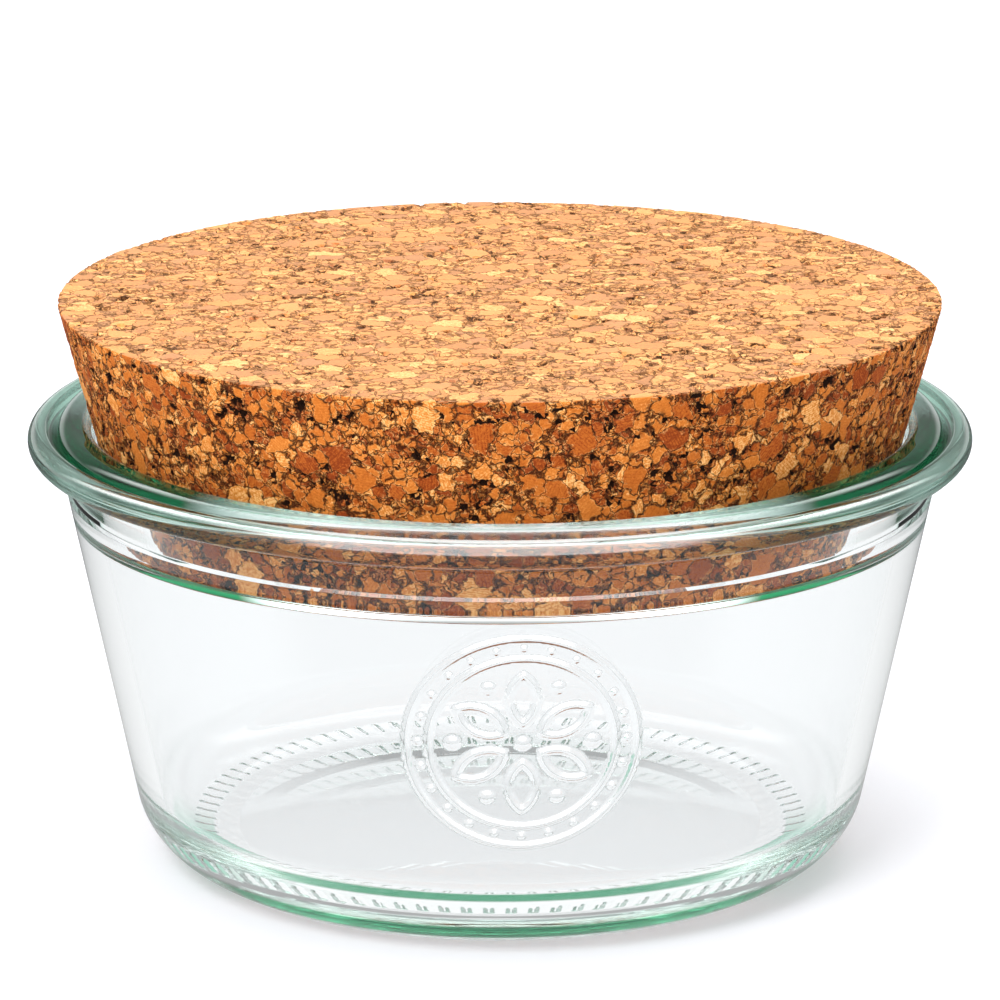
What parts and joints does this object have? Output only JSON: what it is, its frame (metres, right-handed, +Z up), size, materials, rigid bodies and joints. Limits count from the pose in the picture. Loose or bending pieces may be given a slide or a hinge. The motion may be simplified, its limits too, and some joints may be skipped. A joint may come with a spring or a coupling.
{
  "type": "glass food jar with cork lid",
  "caption": "Low flared jar of pressed glass with a rounded double rim, and a tapered cork lid that wedges into its mouth and lifts out.",
  "frame": {"origin": "middle of the foot, on the surface the jar stands on", "axes": "+Z up along the jar's axis, -Y towards the raised medallion on the front"},
  "size_m": [0.1094, 0.1094, 0.0662],
  "materials": {
    "glass": "clear pressed glass with a green tint where it is thick",
    "cork": "sanded agglomerated cork, chips of mixed browns"
  },
  "bodies": {
    "jar": {"jar": "glass"},
    "cork_lid": {"cork_lid": "cork"}
  },
  "joints": [
    {"name": "lid_lift", "type": "slide", "parent": "jar", "child": "cork_lid", "axis": [0, 0, 1], "range_m": [0, 0.12]}
  ]
}
